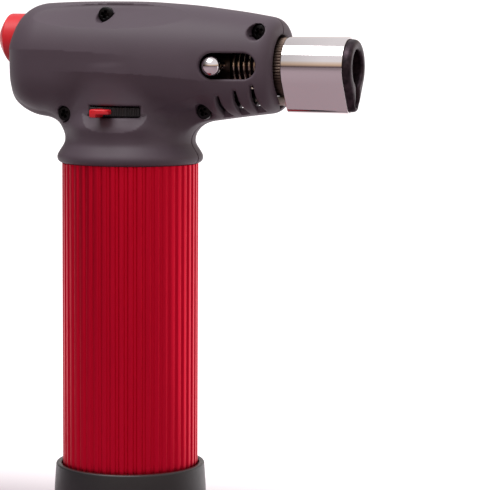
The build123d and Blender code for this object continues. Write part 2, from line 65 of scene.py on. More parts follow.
# %% [markdown]
# ## Colours and nodes
#
# Paint charts and screens give colours in sRGB, but a shader works with linear light, so one
# function turns a hex value into linear numbers. A second one adds a node with its settings and
# links, which keeps every material below to a few lines.

# %% Colour and node helpers
def linear(hex_value):
    """An sRGB hex colour such as "#c8102e" as linear red, green, blue and alpha."""
    channels = [int(hex_value[i : i + 2], 16) / 255 for i in (1, 3, 5)]
    return tuple(c / 12.92 if c <= 0.04045 else ((c + 0.055) / 1.055) ** 2.4 for c in channels) + (1.0,)


def add_node(tree, kind, inputs=None, **settings):
    """Adds one node. A socket in inputs is linked, and any other value is set."""
    made = tree.nodes.new(kind)
    for name, value in settings.items():
        setattr(made, name, value)
    for name, value in (inputs or {}).items():
        if isinstance(value, bpy.types.NodeSocket):
            tree.links.new(value, made.inputs[name])
        else:
            made.inputs[name].default_value = value
    return made


def new_material(name):
    """An empty material, with its node tree, its Principled shader and its object coordinates."""
    material = bpy.data.materials.new(name)
    material.use_nodes = True
    tree = material.node_tree
    shader = tree.nodes["Principled BSDF"]
    coordinates = add_node(tree, "ShaderNodeTexCoord").outputs["Object"]
    print("material:", name)
    return material, tree, shader, coordinates


def per_metre(size_mm):
    """The texture scale that gives features of this size in millimetres."""
    return 1.0 / (size_mm * MM)


print("mid grey #808080 is", round(linear("#808080")[0], 3), "in linear light")

# %% [markdown]
# ## Spark-eroded ABS
#
# The housing is ABS moulded in a tool whose cavity was spark-eroded. That leaves a fine, even,
# pebbled grain, so the plastic is matt and its highlights are wide and soft. The real grain is
# about 0.05 mm, too fine to show, so it is drawn at 0.28 mm, the finest that still does. Larger,
# fainter noise varies the roughness, as handling does.

# %% Spark-eroded ABS
spark_eroded_abs, tree, shader, coordinates = new_material("spark_eroded_abs")
grain = add_node(
    tree, "ShaderNodeTexNoise", {"Vector": coordinates, "Scale": per_metre(0.28), "Detail": 2.0}
)
patches = add_node(
    tree, "ShaderNodeTexNoise", {"Vector": coordinates, "Scale": per_metre(9.0), "Detail": 3.0}
)
tint = add_node(tree, "ShaderNodeMix", {"Factor": patches.outputs["Fac"]}, data_type="RGBA")
tint.inputs[6].default_value = linear("#4c4149")
tint.inputs[7].default_value = linear("#52464f")
rub = add_node(
    tree, "ShaderNodeMapRange", {"Value": patches.outputs["Fac"], "To Min": 0.50, "To Max": 0.60}
)
relief = add_node(
    tree, "ShaderNodeBump", {"Height": grain.outputs["Fac"], "Strength": 0.35, "Distance": 0.05 * MM}
)
tree.links.new(tint.outputs[2], shader.inputs["Base Color"])
tree.links.new(rub.outputs["Result"], shader.inputs["Roughness"])
tree.links.new(relief.outputs["Normal"], shader.inputs["Normal"])
shader.inputs["IOR"].default_value = 1.54
shader.inputs["Specular IOR Level"].default_value = 0.3

# %% [markdown]
# ## Moulded red ABS
#
# The button and the gas lever are self-coloured ABS from a polished tool: a satin gloss, and a
# little light that enters the red and comes out again, which keeps the shaded side warm.

# %% Moulded red ABS
moulded_red_abs, tree, shader, coordinates = new_material("moulded_red_abs")
flow = add_node(
    tree, "ShaderNodeTexNoise", {"Vector": coordinates, "Scale": per_metre(4.0), "Detail": 4.0}
)
tint = add_node(tree, "ShaderNodeMix", {"Factor": flow.outputs["Fac"]}, data_type="RGBA")
tint.inputs[6].default_value = linear("#cb1420")
tint.inputs[7].default_value = linear("#d41c28")
relief = add_node(
    tree, "ShaderNodeBump", {"Height": flow.outputs["Fac"], "Strength": 0.08, "Distance": 0.1 * MM}
)
tree.links.new(tint.outputs[2], shader.inputs["Base Color"])
tree.links.new(relief.outputs["Normal"], shader.inputs["Normal"])
shader.inputs["Roughness"].default_value = 0.38
shader.inputs["IOR"].default_value = 1.54
shader.inputs["Subsurface Weight"].default_value = 0.15
shader.inputs["Subsurface Radius"].default_value = (1.0 * MM, 0.25 * MM, 0.2 * MM)
shader.inputs["Subsurface Scale"].default_value = 1.0

# %% [markdown]
# ## Red anodised aluminium
#
# The sleeve is an extrusion, so faint die lines run along it. Anodising leaves a clear dyed film on
# the metal: the light passes the dye twice, so the reflections are a deep red themselves and there
# is almost no white gloss. So the shader is a metal whose own colour is the dye's.

# %% Red anodised aluminium
anodised_aluminium, tree, shader, coordinates = new_material("red_anodised_aluminium")
along = add_node(tree, "ShaderNodeMapping", {"Vector": coordinates, "Scale": (1.0, 1.0, 0.02)})
die_lines = add_node(
    tree, "ShaderNodeTexNoise", {"Vector": along.outputs["Vector"], "Scale": per_metre(0.5), "Detail": 3.0}
)
dye = add_node(tree, "ShaderNodeMix", {"Factor": die_lines.outputs["Fac"]}, data_type="RGBA")
dye.inputs[6].default_value = linear("#d41230")
dye.inputs[7].default_value = linear("#e0183a")
satin = add_node(
    tree, "ShaderNodeMapRange", {"Value": die_lines.outputs["Fac"], "To Min": 0.34, "To Max": 0.46}
)
tree.links.new(dye.outputs[2], shader.inputs["Base Color"])
tree.links.new(satin.outputs["Result"], shader.inputs["Roughness"])
shader.inputs["Metallic"].default_value = 1.0

# %% [markdown]
# ## Moulded black ABS
#
# The base, the gas dial and the igniter's case are black ABS from a smooth tool: darker and
# glossier than the housing, with the faint unevenness of a moulded skin.

# %% Moulded black ABS
moulded_black_abs, tree, shader, coordinates = new_material("moulded_black_abs")
skin = add_node(
    tree, "ShaderNodeTexNoise", {"Vector": coordinates, "Scale": per_metre(2.5), "Detail": 3.0}
)
wear = add_node(
    tree, "ShaderNodeMapRange", {"Value": skin.outputs["Fac"], "To Min": 0.34, "To Max": 0.46}
)
relief = add_node(
    tree, "ShaderNodeBump", {"Height": skin.outputs["Fac"], "Strength": 0.1, "Distance": 0.1 * MM}
)
tree.links.new(wear.outputs["Result"], shader.inputs["Roughness"])
tree.links.new(relief.outputs["Normal"], shader.inputs["Normal"])
shader.inputs["Base Color"].default_value = linear("#1e1d1f")
shader.inputs["IOR"].default_value = 1.54

# %% [markdown]
# ## Chromed steel
#
# The nozzle's shroud and the air knob are chromed. Chrome is almost a mirror, so its look is mostly
# what it reflects. Only a trace of polishing haze in the roughness keeps it from being perfect.

# %% Chromed steel
chromed_steel, tree, shader, coordinates = new_material("chromed_steel")
haze = add_node(
    tree, "ShaderNodeTexNoise", {"Vector": coordinates, "Scale": per_metre(6.0), "Detail": 5.0}
)
polish = add_node(
    tree, "ShaderNodeMapRange", {"Value": haze.outputs["Fac"], "To Min": 0.035, "To Max": 0.085}
)
tree.links.new(polish.outputs["Result"], shader.inputs["Roughness"])
shader.inputs["Base Color"].default_value = linear("#e6e0e0")
shader.inputs["Metallic"].default_value = 1.0

# %% [markdown]
# ## Finishes that drift between two colours
#
# Heat, tarnish and stains colour a surface unevenly, in soft patches. The six finishes below are all
# made like that, so one function makes them: noise of a real size mixes two colours, and everything
# else about the surface is constant.

# %% Mottled finishes
def mottled(name, patch_mm, detail, colours, constants):
    """A material that drifts between two colours in patches of this size, in millimetres."""
    material, tree, shader, coordinates = new_material(name)
    patches = add_node(
        tree, "ShaderNodeTexNoise", {"Vector": coordinates, "Scale": per_metre(patch_mm), "Detail": detail}
    )
    mixed = add_node(tree, "ShaderNodeMix", {"Factor": patches.outputs["Fac"]}, data_type="RGBA")
    mixed.inputs[6].default_value = linear(colours[0])
    mixed.inputs[7].default_value = linear(colours[1])
    tree.links.new(mixed.outputs[2], shader.inputs["Base Color"])
    for socket, value in constants.items():
        shader.inputs[socket].default_value = value
    return material


# %% [markdown]
# ## Heat-tinted bright steel
#
# The springs and small steel parts are bright drawn wire and strip. Heat and a thin copper flash
# tint them, so the metal's own colour drifts slowly between silver and straw.

# %% Heat-tinted bright steel
bright_steel = mottled(
    "heat_tinted_steel", 3.0, 3.0, ("#d8cfc6", "#c9a88c"), {"Metallic": 1.0, "Roughness": 0.22}
)

# %% [markdown]
# ## Oil-darkened steel
#
# The burner's hub and the air collar were quenched in oil, which leaves a thin dark brown film. The
# film is uneven, so two browns are mixed by noise, and it scatters a little more light.

# %% Oil-darkened steel
darkened_steel = mottled(
    "oil_darkened_steel", 1.5, 3.0, ("#6a5a50", "#3f3532"), {"Metallic": 1.0, "Roughness": 0.35}
)

# %% [markdown]
# ## Oxidised electrode wire
#
# The electrode is nickel wire that glows in the flame each time the torch burns. A pale, pinkish
# oxide crust covers it, so most of it is no longer metal to the eye.

# %% Oxidised electrode wire
electrode_wire = mottled(
    "oxidised_nickel_wire", 0.6, 3.0, ("#e6cfc6", "#c9aba2"), {"Metallic": 0.3, "Roughness": 0.5}
)

# %% [markdown]
# ## Flame-blackened steel
#
# The nozzle's insert sits in the flame. Its oxide is dull and nearly black, with brown tempering
# colours in patches, which a colour ramp draws, and a little scale, which a faint bump gives.

# %% Flame-blackened steel
flame_blackened_steel, tree, shader, coordinates = new_material("flame_blackened_steel")
scale_noise = add_node(
    tree, "ShaderNodeTexNoise", {"Vector": coordinates, "Scale": per_metre(1.6), "Detail": 5.0}
)
temper = add_node(tree, "ShaderNodeValToRGB", {"Fac": scale_noise.outputs["Fac"]})
temper.color_ramp.elements[0].position = 0.35
temper.color_ramp.elements[0].color = linear("#261e23")
temper.color_ramp.elements[1].position = 0.7
temper.color_ramp.elements[1].color = linear("#43363d")
relief = add_node(
    tree, "ShaderNodeBump", {"Height": scale_noise.outputs["Fac"], "Strength": 0.2, "Distance": 0.05 * MM}
)
tree.links.new(temper.outputs["Color"], shader.inputs["Base Color"])
tree.links.new(relief.outputs["Normal"], shader.inputs["Normal"])
shader.inputs["Metallic"].default_value = 0.85
shader.inputs["Roughness"].default_value = 0.42

# %% [markdown]
# ## Turned brass
#
# The valves and fittings that carry the gas are turned brass, because brass makes no spark and
# doesn't rust. It is satin, and tarnishes a little browner in patches.

# %% Turned brass
turned_brass = mottled(
    "turned_brass", 2.0, 4.0, ("#e3c078", "#c99b52"), {"Metallic": 1.0, "Roughness": 0.28}
)

# %% [markdown]
# ## Black oxide screw steel, with painted shade
#
# The screws have a black oxide finish, and their colour is darker still as painted shade, for the shade
# deep in their holes. Only their roughness varies.

# %% Black oxide screw steel with painted shade
screw_steel_with_painted_shade, tree, shader, coordinates = new_material("black_oxide_steel_with_painted_shade")
oxide = add_node(
    tree, "ShaderNodeTexNoise", {"Vector": coordinates, "Scale": per_metre(0.8), "Detail": 3.0}
)
patina = add_node(
    tree, "ShaderNodeMapRange", {"Value": oxide.outputs["Fac"], "To Min": 0.25, "To Max": 0.45}
)
tree.links.new(patina.outputs["Result"], shader.inputs["Roughness"])
# painted shade: this colour is darker than the oxide alone and stands in for the shade deep in the screw
# holes
shader.inputs["Base Color"].default_value = linear("#1d1c1d")
shader.inputs["Metallic"].default_value = 0.9

# %% [markdown]
# ## Unglazed alumina
#
# The electrode's insulator and the flame holder stand the heat because they are alumina. Unglazed,
# it is nearly white and chalky, with faint stains.

# %% Alumina
alumina = mottled("unglazed_alumina", 1.2, 4.0, ("#efe6dc", "#d9c9bb"), {"Roughness": 0.6, "IOR": 1.7})

# %% [markdown]
# ## Milky nylon
#
# The inner tank and the dip tube are nylon. It looks milky because light scatters inside it, which
# subsurface scattering imitates.

# %% Nylon
milky_nylon = mottled(
    "milky_nylon", 5.0, 2.0, ("#e4e0d4", "#d5d0c1"),
    {
        "Roughness": 0.4,
        "IOR": 1.53,
        "Subsurface Weight": 0.3,
        "Subsurface Radius": (1.5 * MM, 1.4 * MM, 1.2 * MM),
        "Subsurface Scale": 1.0,
    },
)

# %% [markdown]
# ## Black rubber
#
# The seals and the ignition wire's cover are black rubber, which is dull and dusty in patches.

# %% Rubber
black_rubber, tree, shader, coordinates = new_material("black_rubber")
bloom = add_node(
    tree, "ShaderNodeTexNoise", {"Vector": coordinates, "Scale": per_metre(1.5), "Detail": 3.0}
)
dull = add_node(
    tree, "ShaderNodeMapRange", {"Value": bloom.outputs["Fac"], "To Min": 0.6, "To Max": 0.8}
)
tree.links.new(dull.outputs["Result"], shader.inputs["Roughness"])
shader.inputs["Base Color"].default_value = linear("#1b1b1c")
shader.inputs["IOR"].default_value = 1.52

# %% [markdown]
# ## Making a piece
#
# Every piece ends the same way: its points, in millimetres, become a mesh in metres, it gets its
# finish, it rides on its CAD body, and the CAD nodes it stands for are hidden. One function does that.

# %% Piece helper
def make_piece(name, points, faces, material, body, stands_for=(), normals=None, sharp=30.0):
    """A finished piece from points in millimetres. Edges sharper than sharp degrees stay crisp."""
    mesh = bpy.data.meshes.new(name)
    mesh.from_pydata((np.asarray(points, float) * MM).tolist(), [], [list(face) for face in faces])
    mesh.validate()
    piece = bpy.data.objects.new(name, mesh)
    bpy.context.scene.collection.objects.link(piece)
    mesh.materials.append(material)
    mesh.polygons.foreach_set("use_smooth", np.ones(len(mesh.polygons), bool))
    if normals is not None:
        mesh.normals_split_custom_set_from_vertices(normals.tolist())
    else:
        mesh.set_sharp_from_angle(angle=math.radians(sharp))
    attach(piece, body)
    if stands_for:
        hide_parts(*stands_for)
    print(f"{name}: {len(mesh.vertices)} points, {len(mesh.polygons)} faces")
    return piece


# %% [markdown]
# ## A lathe
#
# Turned and round moulded pieces are a profile of (distance along the axis, radius) points, turned
# about that axis. A crisp CAD corner catches no light, so `eased` first replaces each corner with
# a small arc, which is what gives a real edge its thin highlight.

# %% Lathe and eased corners
def eased(profile, radius, steps=4):
    """The profile with each inner corner cut back by radius and rounded."""
    points = [np.array(p, float) for p in profile]
    result = [points[0]]
    for before, corner, after in zip(points, points[1:], points[2:]):
        back, ahead = before - corner, after - corner
        reach = min(radius, np.linalg.norm(back) * 0.45, np.linalg.norm(ahead) * 0.45)
        start = corner + back / np.linalg.norm(back) * reach
        end = corner + ahead / np.linalg.norm(ahead) * reach
        for t in np.linspace(0, 1, steps + 1):
            result.append((1 - t) ** 2 * start + 2 * t * (1 - t) * corner + t**2 * end)
    result.append(points[-1])
    return np.array(result)


def loop_faces(rings, around, closed_along=False):
    """Quads between successive rings of points, each with the same number of points around."""
    faces = []
    count = rings if closed_along else rings - 1
    for i in range(count):
        below, above = i * around, ((i + 1) % rings) * around
        for j in range(around):
            k = (j + 1) % around
            faces.append((below + j, below + k, above + k, above + j))
    return faces


def lathe(profile, axis, centre, around=96, wobble=None):
    """Points and faces of a closed profile turned about an axis: 0, 1 or 2 for X, Y or Z.
    wobble(angle, along, radius) may give each point a radius of its own, for knurls and ribs."""
    angles = np.arange(around) * 2 * math.pi / around
    u, v = (axis + 1) % 3, (axis + 2) % 3
    points = []
    for along, radius in profile:
        ring = np.zeros((around, 3))
        reach = radius if wobble is None else wobble(angles, along, radius)
        ring[:, axis] = along
        ring[:, u] = np.cos(angles) * reach
        ring[:, v] = np.sin(angles) * reach
        points.append(ring + np.array(centre, float))
    return np.concatenate(points), loop_faces(len(profile), around, closed_along=True)


print("a square corner eased by 1 mm keeps", len(eased([(0, 0), (4, 0), (4, 4)], 1.0)), "points")

# %% [markdown]
# ## Distance fields
#
# A moulded shape is easiest to say as a field: a number for every point in space, negative inside
# the plastic. Two shapes join by taking the smaller number, and a slot is cut by taking the larger
# of the shape and the slot's opposite. Rounding those choices a little rounds every edge where the
# shapes meet, exactly as the radius of a moulding tool does.

# %% Field helpers
def smooth_min(a, b, k):
    """The smaller of two fields, rounded over where they differ by less than k."""
    h = np.maximum(k - np.abs(a - b), 0) / k
    return np.minimum(a, b) - h * h * k / 4


def smooth_max(a, b, k):
    """The larger of two fields, rounded in the same way."""
    return -smooth_min(-a, -b, k)


def ramp(t, low=0.0, high=1.0):
    """Rises smoothly from 0 at low to 1 at high."""
    t = np.clip((t - low) / (high - low), 0, 1)
    return t * t * (3 - 2 * t)


def tapered_slot(u, v, start, end, start_radius, end_radius):
    """The distance in a plane to two circles and the straight sides that join them."""
    du, dv = end[0] - start[0], end[1] - start[1]
    length = math.hypot(du, dv)
    along = ((u - start[0]) * du + (v - start[1]) * dv) / length
    across = np.abs((u - start[0]) * dv - (v - start[1]) * du) / length
    slope = (start_radius - end_radius) / length
    rise = math.sqrt(1 - slope * slope)
    k = along * rise - across * slope
    first = np.hypot(across, along) - start_radius
    second = np.hypot(across, along - length) - end_radius
    side = across * rise + along * slope - start_radius
    return np.where(k < 0, first, np.where(k > length * rise, second, side))


print("two equal fields of 0, rounded over 1 mm, give", smooth_min(np.zeros(1), np.zeros(1), 1.0)[0])

# %% [markdown]
# ## From a field to a mesh
#
# Surface nets do this simply: the field is sampled on a grid, each cell that the surface crosses
# gets one point, and each grid edge that it crosses gets one quad, between the four cells around
# it. The points are then evened out, and moved along the field's slope until they lie on the
# surface, and that slope also gives exact normals, so the shading is smoother than the mesh.

# %% Surface nets
def field_slope(field, points, reach=0.02):
    """The field's gradient at each point, by differences."""
    steps = np.eye(3) * reach
    slopes = [field(points + step) - field(points - step) for step in steps]
    return np.stack(slopes, -1) / (2 * reach)


def settle(field, points, step, rounds=3):
    """Moves points along the field's slope until they lie where it is zero."""
    for _ in range(rounds):
        slope = field_slope(field, points)
        size = np.maximum((slope**2).sum(-1), 1e-6)
        move = slope * (field(points) / size)[:, None]
        length = np.linalg.norm(move, axis=1)
        points = points - move * np.minimum(1, 0.6 * step / np.maximum(length, 1e-9))[:, None]
    return points


def mesh_field(field, low, high, step):
    """Points, quads and normals of the field's zero surface, inside the box from low to high."""
    low, high = np.array(low, float), np.array(high, float)
    axes = [np.arange(low[i], high[i] + step, step) for i in range(3)]
    inside = np.zeros([len(axis) for axis in axes], bool)
    for i, x in enumerate(axes[0]):
        y, z = np.meshgrid(axes[1], axes[2], indexing="ij")
        inside[i] = field(np.stack([np.full_like(y, x), y, z], -1)) < 0
    nx, ny, nz = (length - 1 for length in inside.shape)
    cell_corners = [(i, j, k) for i in (0, 1) for j in (0, 1) for k in (0, 1)]
    count = sum(inside[i : nx + i, j : ny + j, k : nz + k].astype(int) for i, j, k in cell_corners)
    crossed = (count > 0) & (count < 8)
    number = np.full(crossed.shape, -1)
    number[crossed] = np.arange(crossed.sum())
    points = low + (np.argwhere(crossed) + 0.5) * step
    quads = []
    for axis in range(3):
        u, v = (axis + 1) % 3, (axis + 2) % 3
        ahead = np.roll(inside, -1, axis)
        changed = inside != ahead
        edge = np.argwhere(changed)
        within = edge[:, axis] < inside.shape[axis] - 1
        for side in (u, v):
            within &= (edge[:, side] > 0) & (edge[:, side] < inside.shape[side] - 1)
        edge = edge[within]
        corners = []
        for du, dv in ((-1, -1), (0, -1), (0, 0), (-1, 0)):
            cell = edge.copy()
            cell[:, u] += du
            cell[:, v] += dv
            corners.append(number[tuple(cell.T)])
        quad = np.stack(corners, 1)
        backwards = ~inside[tuple(edge.T)]
        quad[backwards] = quad[backwards][:, ::-1]
        quads.append(quad)
    quads = np.concatenate(quads)
    points = settle(field, points, step)
    for _ in range(2):
        total, shares = np.zeros_like(points), np.zeros(len(points))
        for a, b in ((0, 1), (1, 2), (2, 3), (3, 0)):
            np.add.at(total, quads[:, a], points[quads[:, b]])
            np.add.at(shares, quads[:, a], 1)
        even = total / np.maximum(shares, 1)[:, None]
        points = settle(field, points * 0.4 + even * 0.6, step, rounds=2)
    slope = field_slope(field, points)
    return points, quads, slope / np.linalg.norm(slope, axis=1)[:, None]


# %% [markdown]
# ## The head's outer form
#
# The head is a barrel across a neck. The barrel's section is a superellipse, rounder than a box and
# fuller than an ellipse, whose width, top and bottom change along it. The neck is turned, with a bead
# where it meets the sleeve. The two run together in a wide cove at the front and back and hardly
# any at the sides, where they are almost flush, so the radius of the join depends on the side.

# %% Outer form of the head
HEAD_BOTTOM = node_box("housing_right")[0][2]
NOSE_X = node_box("housing_right")[1][0]
BARREL_X = (-36.0, -28.0, -24.0, -15.0, -6.0, 6.0, 20.0, 35.0, NOSE_X)
BARREL_TOP = (153.6, 154.4, 154.7, 155.1, 155.2, 155.15, 154.2, 152.3, 150.6)
BARREL_BOTTOM = (123.3, 123.1, 123.0, 122.8, 122.4, 121.8, 121.8, 124.0, 125.2)
BARREL_WIDTH = (16.4, 17.8, 18.3, 19.1, 19.4, 19.2, 17.8, 15.0, 12.6)
REAR_Z = (122.0, 124.2, 125.5, 127.5, 130.5, 134.4, 138.0, 143.7, 147.6, 151.5, 156.0)
REAR_X = (-29.0, -30.6, -32.0, -33.6, -34.7, -35.2, -35.1, -34.0, -32.5, -30.8, -28.4)
NECK_Z = (110.5, 111.2, 112.6, 114.3, 116.0, 118.0, 121.0, 126.0, 132.0, 138.0)
NECK_RADIUS = (19.5, 20.25, 20.45, 19.4, 18.25, 18.05, 18.4, 18.9, 18.9, 18.4)


def soft_curve(at, values, softness):
    """A function through the values, with its corners rounded over about this length."""
    fine = np.linspace(at[0] - 3 * softness, at[-1] + 3 * softness, 2000)
    low_slope = (values[1] - values[0]) / (at[1] - at[0])
    high_slope = (values[-1] - values[-2]) / (at[-1] - at[-2])
    rough = np.interp(fine, at, values)
    rough += np.minimum(fine - at[0], 0) * low_slope + np.maximum(fine - at[-1], 0) * high_slope
    reach = int(2.5 * softness / (fine[1] - fine[0]))
    weights = np.exp(-0.5 * (np.arange(-reach, reach + 1) / (reach / 2.5)) ** 2)
    padded = np.pad(rough, reach, mode="reflect", reflect_type="odd")
    smooth = np.convolve(padded, weights / weights.sum(), mode="valid")
    return lambda t: np.interp(t, fine, smooth)


top_line = soft_curve(BARREL_X, BARREL_TOP, 3.0)
bottom_line = soft_curve(BARREL_X, BARREL_BOTTOM, 3.0)
half_width = soft_curve(BARREL_X, BARREL_WIDTH, 3.0)
rear_line = soft_curve(REAR_Z, REAR_X, 1.2)
neck_radius = soft_curve(NECK_Z, NECK_RADIUS, 0.6)
SECTION_POWER = 2.35


def barrel_field(x, y, z):
    """The barrel as an endless tube, then closed by its curved rear and its flat nose."""
    top, bottom = top_line(x), bottom_line(x)
    centre, height, width = (top + bottom) / 2, (top - bottom) / 2, half_width(x)
    across, up = np.abs(y) / width, np.abs(z - centre) / height
    size = (across**SECTION_POWER + up**SECTION_POWER + 1e-9) ** (1 / SECTION_POWER)
    power = SECTION_POWER - 1
    slope = np.hypot((across / size) ** power / width, (up / size) ** power / height)
    tube = (size - 1) / np.maximum(slope, 0.03)
    rear = rear_line(z) + y * y / 50.0 - x
    closed = smooth_max(tube, rear * 0.92, 5.5)
    return smooth_max(closed, x - NOSE_X, 3.3)


def neck_field(x, y, z):
    """The neck, with the raised block that the gas lever's slot is cut in."""
    around = np.degrees(np.arctan2(y, x))
    block = ramp(around, -140.0, -112.0) * ramp(-around, 46.0, 60.0) * ramp(z, 115.5, 121.5)
    radius = neck_radius(z) + 0.8 * block
    side = np.hypot(x, y) - radius
    return smooth_max(smooth_max(side, HEAD_BOTTOM - z, 0.8), z - 138.0, 1.0)


print("the barrel over the tank's axis is", round(2 * float(half_width(0.0)), 1), "mm wide")

# %% [markdown]
# ## Relief on the head
#
# Four things make the big faces read as designed plastic. Two long creases run along the barrel,
# where the face turns in by a few degrees and then eases back. A cove runs under the barrel in front
# of the neck. A long oval dish is scooped out of each shoulder. Below the gas lever a thumb scoop is
# cut in the block. All are shallow, so they are given as a depth below the plain form.

# %% Relief
UPPER_DEPTH, LOWER_DEPTH, COVE_DEPTH, DISH_DEPTH = 0.9, 1.5, 1.5, 1.9
DISH_X, DISH_Z, DISH_LENGTH, DISH_HEIGHT = -1.2, 151.1, 22.5, 3.5
SCOOP_LIP, SCOOP_RISE, SCOOP_ANGLE, SCOOP_SPAN = 119.7, 4.1, -84.0, 30.5
SCOOP_TOP, SCOOP_RUN, SCOOP_DEPTH = 124.6, 4.0, 1.0


def step_in(z, crease, length):
    """0 above the crease, then a turn inwards that eases to 1 at this length below it."""
    t = np.clip((crease - z) / length, 0, 1)
    return 2 * t - t * t


def thumb_scoop(x, y, z):
    """The depth of the scoop below the gas lever, whose lower edge is a shallow arc."""
    around = np.degrees(np.arctan2(y, x))
    lip = SCOOP_LIP + SCOOP_RISE * np.abs((around - SCOOP_ANGLE) / SCOOP_SPAN) ** 4
    t = np.clip((z - lip) / SCOOP_RUN, 0, 1)
    return SCOOP_DEPTH * (2 * t - t * t) * (z < SCOOP_TOP)


def relief_depth(x, y, z):
    """How far the surface lies below the plain form, in millimetres."""
    upper_crease = 142.0 - 0.0011 * (x + 30) ** 2
    upper = UPPER_DEPTH * ramp(-x, -12.0, 8.0) * step_in(z, upper_crease, 7.0)
    lower_crease = 135.9 - 0.0016 * (x + 8) ** 2
    lower_run = ramp(x, -17.0, -5.0) * ramp(-x, -32.0, -23.0)
    lower = LOWER_DEPTH * lower_run * step_in(z, lower_crease, 7.5)
    barrel_side = ramp(np.abs(y), 4.0, 8.0) * ramp(z, 120.0, 126.0)
    cove_crease = 125.9 + 0.29 * (x - 12.1)
    cove = COVE_DEPTH * ramp(x, 11.0, 15.0) * ramp(-x, -29.0, -23.0) * step_in(z, cove_crease, 5.5)
    cove = cove * ramp(np.abs(y), 4.0, 8.0) * ramp(z, 118.0, 123.5)
    oval = ((x - DISH_X) / DISH_LENGTH) ** 2 + ((z - DISH_Z) / DISH_HEIGHT) ** 2
    dish = DISH_DEPTH * np.clip(1 - oval, 0, 1) * ramp(np.abs(y), 3.0, 6.0)
    return (upper + lower) * barrel_side + cove + dish + thumb_scoop(x, y, z)


def head_form(points):
    """The outside of the head. The join's radius is wide at the front and back of the neck."""
    x, y, z = points[..., 0], points[..., 1], points[..., 2]
    side = np.abs(y) / np.maximum(np.hypot(x, y), 1e-6)
    join = 1.2 + 5.5 * (1 - ramp(side, 0.35, 0.9))
    form = smooth_min(barrel_field(x, y, z), neck_field(x, y, z), join)
    return form + relief_depth(x, y, z)


print("the shoulder's dish is", round(float(relief_depth(DISH_X, 12.0, DISH_Z)), 2), "mm deep")

# %% [markdown]
# ## The head's openings
#
# The shell is hollow, 2 mm thick, with bosses for the screws and a ring that grips the tank's neck.
# The openings are the air slot, the gas lever's curved slot, three narrow vents on each side, the
# nose's keyhole, the button's bore and the screws' counterbores. Each is cut with its edge rounded,
# as a moulding's is, because a sharp edge in this plastic would show as a hard black line.

# %% Shell and openings
WALL = 2.0
AXIS_Z, BUTTON_Z, WIRE_Z = 137.7, 144.7, 128.4  # heights of the burner, the button and the electrode
NECK_BORE, NECK_BORE_TOP = 16.2, 121.0
GRIP_Z, GRIP_HALF, GRIP_BORE, GRIP_OUTSIDE = 113.0, 0.9, 11.15, 17.0
GUIDE_RADIUS, BUTTON_BORE, FLANGE_BORE = 9.4, 7.2, 8.5
NOSE_BORE, NOSE_TOE = 8.5, 1.85
BOSS_RADIUS, COUNTERBORE, SHANK_BORE, PILOT_BORE = 2.6, 2.25, 1.3, 1.15
AIR_SLOT_ENDS, AIR_SLOT_RADIUS = ((29.8, 137.9), (37.8, 137.9)), 3.5
LEVER_SLOT_ANGLE, LEVER_SLOT_SPAN, LEVER_SLOT_Z, LEVER_SLOT_HALF = -83.8, 25.2, 125.2, 1.6
VENT_TOP_RADIUS, VENT_BOTTOM_RADIUS = 0.4, 1.3
SCREWS = ((-3.2, 151.5, -9.0), (40.5, 147.0, -6.4), (24.4, 125.3, -5.6), (-15.1, 124.2, -9.6))
VENTS = (((30.6, 129.5), (31.4, 123.8)), ((35.4, 131.0), (36.3, 123.8)), ((40.1, 132.5), (41.0, 124.4)))


def head_shell(points, right):
    """One housing half before the parting face is cut: right is the side with the slots and screws."""
    x, y, z = points[..., 0], points[..., 1], points[..., 2]
    outside = head_form(points)
    around_neck, around_button = np.hypot(x, y), np.hypot(y, z - BUTTON_Z)
    hollow = np.minimum(outside + WALL, np.maximum(around_neck - NECK_BORE, z - NECK_BORE_TOP))
    shell = smooth_max(outside, -hollow, 0.6)
    grip = np.maximum(GRIP_BORE - around_neck, around_neck - GRIP_OUTSIDE)
    inner = [np.maximum(np.abs(z - GRIP_Z) - GRIP_HALF, grip)]
    inner.append(np.maximum(around_button - GUIDE_RADIUS, x + 26.4))
    for screw_x, screw_z, _ in SCREWS:
        inner.append(np.hypot(x - screw_x, z - screw_z) - BOSS_RADIUS)
    for fitting in inner:
        shell = np.minimum(shell, np.maximum(fitting, outside + 0.3))

    cuts = [np.maximum(around_button - BUTTON_BORE, x + 24.5)]
    cuts.append(np.maximum(around_button - FLANGE_BORE, np.abs(x + 22.95) - 3.45))
    nose = tapered_slot(y, z, (0, AXIS_Z), (0, WIRE_Z), NOSE_BORE, NOSE_TOE)
    cuts.append(np.maximum(nose, 41.0 - x))
    for top, bottom in VENTS:
        bow = 0.4 * np.sin(np.clip((z - bottom[1]) / (top[1] - bottom[1]), 0, 1) * math.pi)
        vent = tapered_slot(x + bow, z, top, bottom, VENT_TOP_RADIUS, VENT_BOTTOM_RADIUS)
        cuts.append(np.maximum(vent, 5.6 - np.abs(y)))
    if right:
        air_slot = tapered_slot(x, z, *AIR_SLOT_ENDS, AIR_SLOT_RADIUS, AIR_SLOT_RADIUS)
        cuts.append(np.maximum(air_slot, y + 6.8))
        around = np.degrees(np.arctan2(y, x))
        slot_ends = np.radians(np.abs(around - LEVER_SLOT_ANGLE) - LEVER_SLOT_SPAN) * around_neck
        dial_slot = smooth_max(slot_ends, np.abs(z - LEVER_SLOT_Z) - LEVER_SLOT_HALF, 0.5)
        cuts.append(np.maximum(dial_slot, 15.0 - around_neck))
        for screw_x, screw_z, seat_y in SCREWS:
            around_screw = np.hypot(x - screw_x, z - screw_z)
            shell = smooth_max(shell, -np.maximum(around_screw - COUNTERBORE, y - seat_y), 0.35)
            cuts.append(np.maximum(around_screw - SHANK_BORE, y - 1.0))
    else:
        for screw_x, screw_z, _ in SCREWS:
            around_screw = np.hypot(x - screw_x, z - screw_z)
            cuts.append(np.maximum(around_screw - PILOT_BORE, y - 8.0))
    for cut in cuts:
        shell = smooth_max(shell, -cut, 0.7)
    return shell


def half_field(right):
    """The half on one side of the parting face, whose outer edge is broken so the join shows."""
    side = 1 if right else -1
    return lambda points: smooth_max(head_shell(points, right), side * points[..., 1] + 0.04, 0.35)


